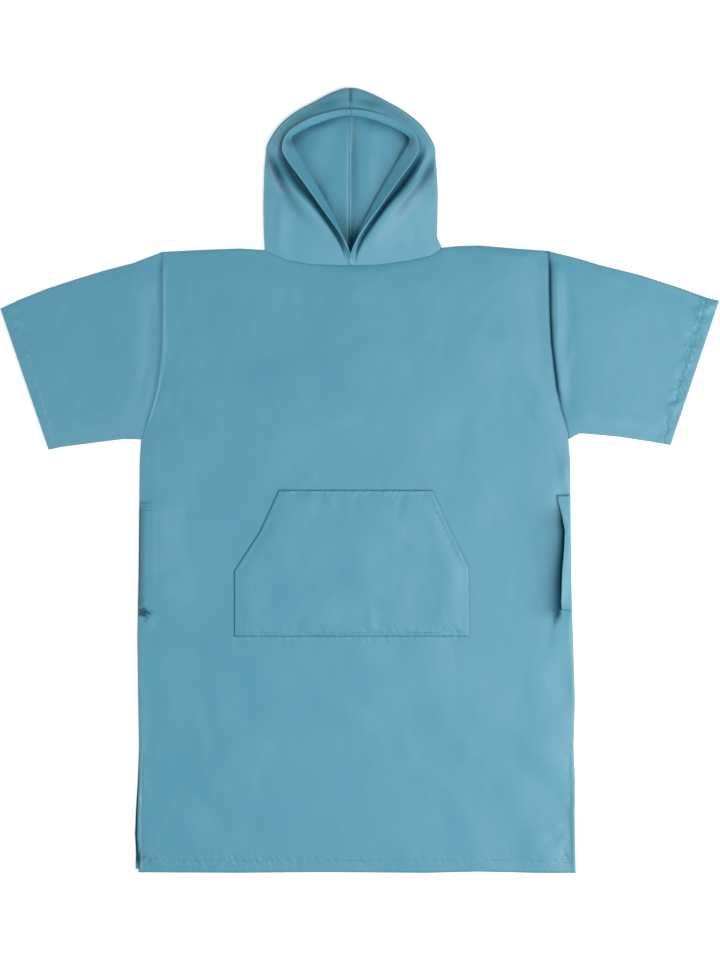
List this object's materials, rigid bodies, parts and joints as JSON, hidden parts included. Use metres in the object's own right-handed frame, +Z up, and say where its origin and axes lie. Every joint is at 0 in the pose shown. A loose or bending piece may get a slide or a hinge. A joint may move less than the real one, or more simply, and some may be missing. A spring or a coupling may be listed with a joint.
{
  "type": "hooded bath poncho",
  "caption": "Hooded bath poncho of thin microfibre towelling laid flat: straight body, short wide sleeves, hood standing open, kangaroo pocket, side hand slits and vents.",
  "frame": {"origin": "centre of the bounding box on the floor that the garment lies on", "axes": "+X across the garment to the picture's right, +Y along it to the head end, +Z up from the floor"},
  "size_m": [1.21, 1.322, 0.0305],
  "materials": {
    "body_cloth": "smooth short-nap microfibre towelling",
    "hood_cloth": "smooth short-nap microfibre towelling"
  },
  "bodies": {
    "root": {"back_panel": "body_cloth", "front_panel": "body_cloth", "sleeve_left": "body_cloth", "sleeve_right": "body_cloth", "pocket": "body_cloth", "slit_strip_right": "body_cloth", "hood_left": "hood_cloth", "hood_right": "hood_cloth"}
  },
  "joints": []
}
